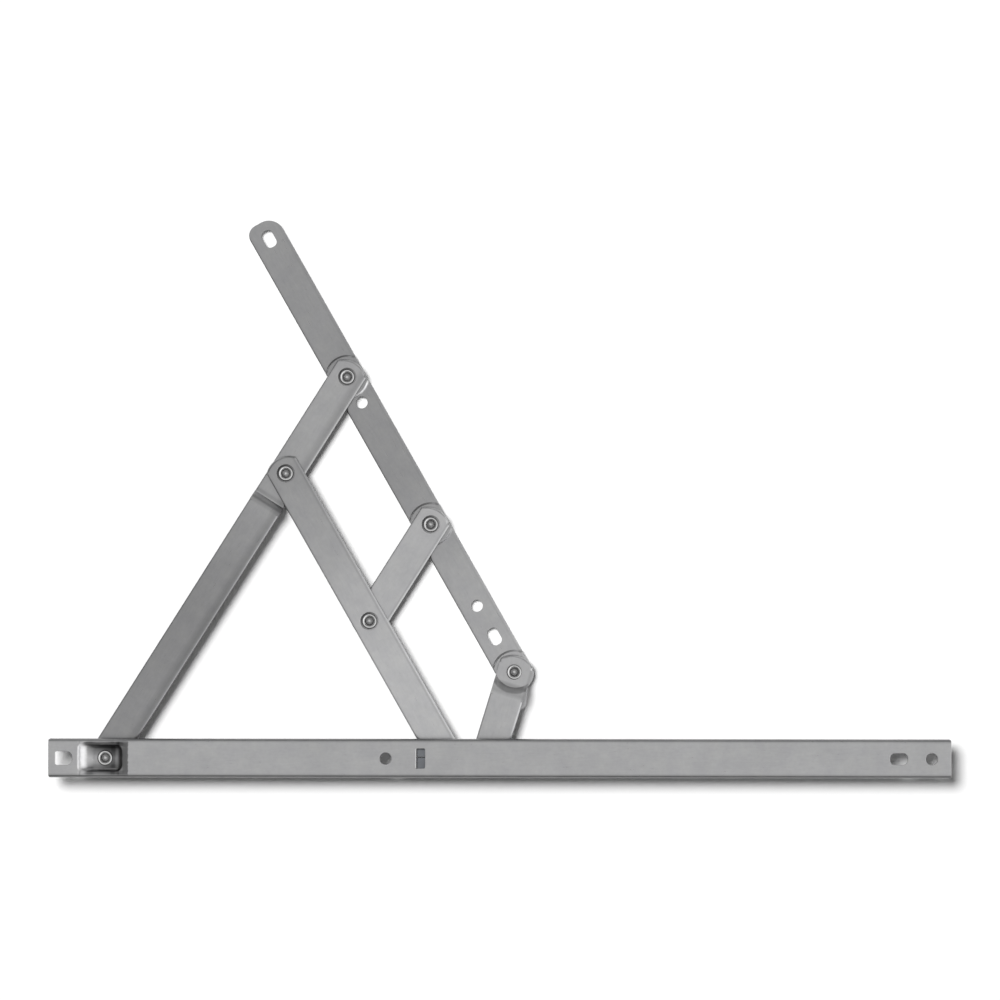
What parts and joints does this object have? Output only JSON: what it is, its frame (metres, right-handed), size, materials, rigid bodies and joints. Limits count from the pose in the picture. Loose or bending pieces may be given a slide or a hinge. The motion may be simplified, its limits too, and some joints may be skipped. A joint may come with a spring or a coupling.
{
  "type": "window friction stay",
  "caption": "Steel friction stay for a window sash: bars on a channel track fold flat and swing the sash open as their sliders run along the track.",
  "frame": {"origin": "centre of the track's mounting face", "axes": "+X along the track away from the fixed pivot, +Y towards the side that the bars open to, +Z out of the track's mounting face"},
  "size_m": [0.4064, 0.2514, 0.0135],
  "materials": {
    "track_steel": "satin rolled stainless steel",
    "bar_steel": "satin rolled stainless steel",
    "rivet_steel": "bright formed stainless steel",
    "slider": "dark grey moulded acetal",
    "washer": "natural nylon",
    "brass": "machined brass"
  },
  "bodies": {
    "track": {"track": "track_steel", "rivet_fixed": "rivet_steel", "washer_fixed": "washer"},
    "long_arm": {"long_arm": "bar_steel", "rivet_arm_end": "rivet_steel", "washer_arm_end": "washer"},
    "cross_arm": {"cross_arm": "bar_steel", "rivet_crossing": "rivet_steel", "washer_crossing": "washer", "rivet_link_cross": "rivet_steel", "washer_link_cross": "washer"},
    "vent_bar": {"vent_bar": "bar_steel"},
    "parallel_link": {"parallel_link": "bar_steel", "rivet_link_vent": "rivet_steel", "washer_link_vent": "washer"},
    "toggle_link": {"toggle_link": "bar_steel", "rivet_toggle_vent": "rivet_steel", "washer_toggle_vent": "washer"},
    "rear_slider": {"rear_slider": "slider", "rivet_rear_slider": "rivet_steel", "washer_rear_slider": "washer", "friction_screw": "brass"},
    "front_slider": {"front_slider": "slider", "rivet_front_slider": "rivet_steel", "washer_front_slider": "washer"}
  },
  "joints": [
    {"name": "fixed_pivot", "type": "hinge", "parent": "track", "child": "long_arm", "pos_m": [-0.1779, 0, 0], "axis": [0, 0, 1], "range_deg": [-57.7, 0]},
    {"name": "crossing_pivot", "type": "hinge", "parent": "long_arm", "child": "cross_arm", "pos_m": [-0.09679, 0.12831, 0], "axis": [0, 0, 1], "range_deg": [0, 118.3]},
    {"name": "arm_end_pivot", "type": "hinge", "parent": "long_arm", "child": "vent_bar", "pos_m": [-0.06921, 0.17193, 0], "axis": [0, 0, 1], "range_deg": [0, 118.3]},
    {"name": "link_vent_pivot", "type": "hinge", "parent": "vent_bar", "child": "parallel_link", "pos_m": [-0.03138, 0.10532, 0], "axis": [0, 0, 1], "range_deg": [-118.3, 0]},
    {"name": "toggle_vent_pivot", "type": "hinge", "parent": "vent_bar", "child": "toggle_link", "pos_m": [0.00646, 0.03872, 0], "axis": [0, 0, 1], "range_deg": [-135.1, 0]},
    {"name": "rear_slider_pivot", "type": "hinge", "parent": "cross_arm", "child": "rear_slider", "pos_m": [-0.02418, 0.0005, 0], "axis": [0, 0, 1], "range_deg": [-60.6, 0]},
    {"name": "front_slider_pivot", "type": "hinge", "parent": "toggle_link", "child": "front_slider", "pos_m": [-0.00488, 0.0015, 0], "axis": [0, 0, 1], "range_deg": [0, 74.5]}
  ],
  "couplings": [
    {"joint": "crossing_pivot", "follows": "fixed_pivot", "ratio": -2.0502},
    {"joint": "arm_end_pivot", "follows": "fixed_pivot", "ratio": -2.0502},
    {"joint": "link_vent_pivot", "follows": "fixed_pivot", "ratio": 2.0502},
    {"joint": "toggle_vent_pivot", "follows": "fixed_pivot", "ratio": 2.3413},
    {"joint": "rear_slider_pivot", "follows": "fixed_pivot", "ratio": 1.0502},
    {"joint": "front_slider_pivot", "follows": "fixed_pivot", "ratio": -1.2912}
  ]
}
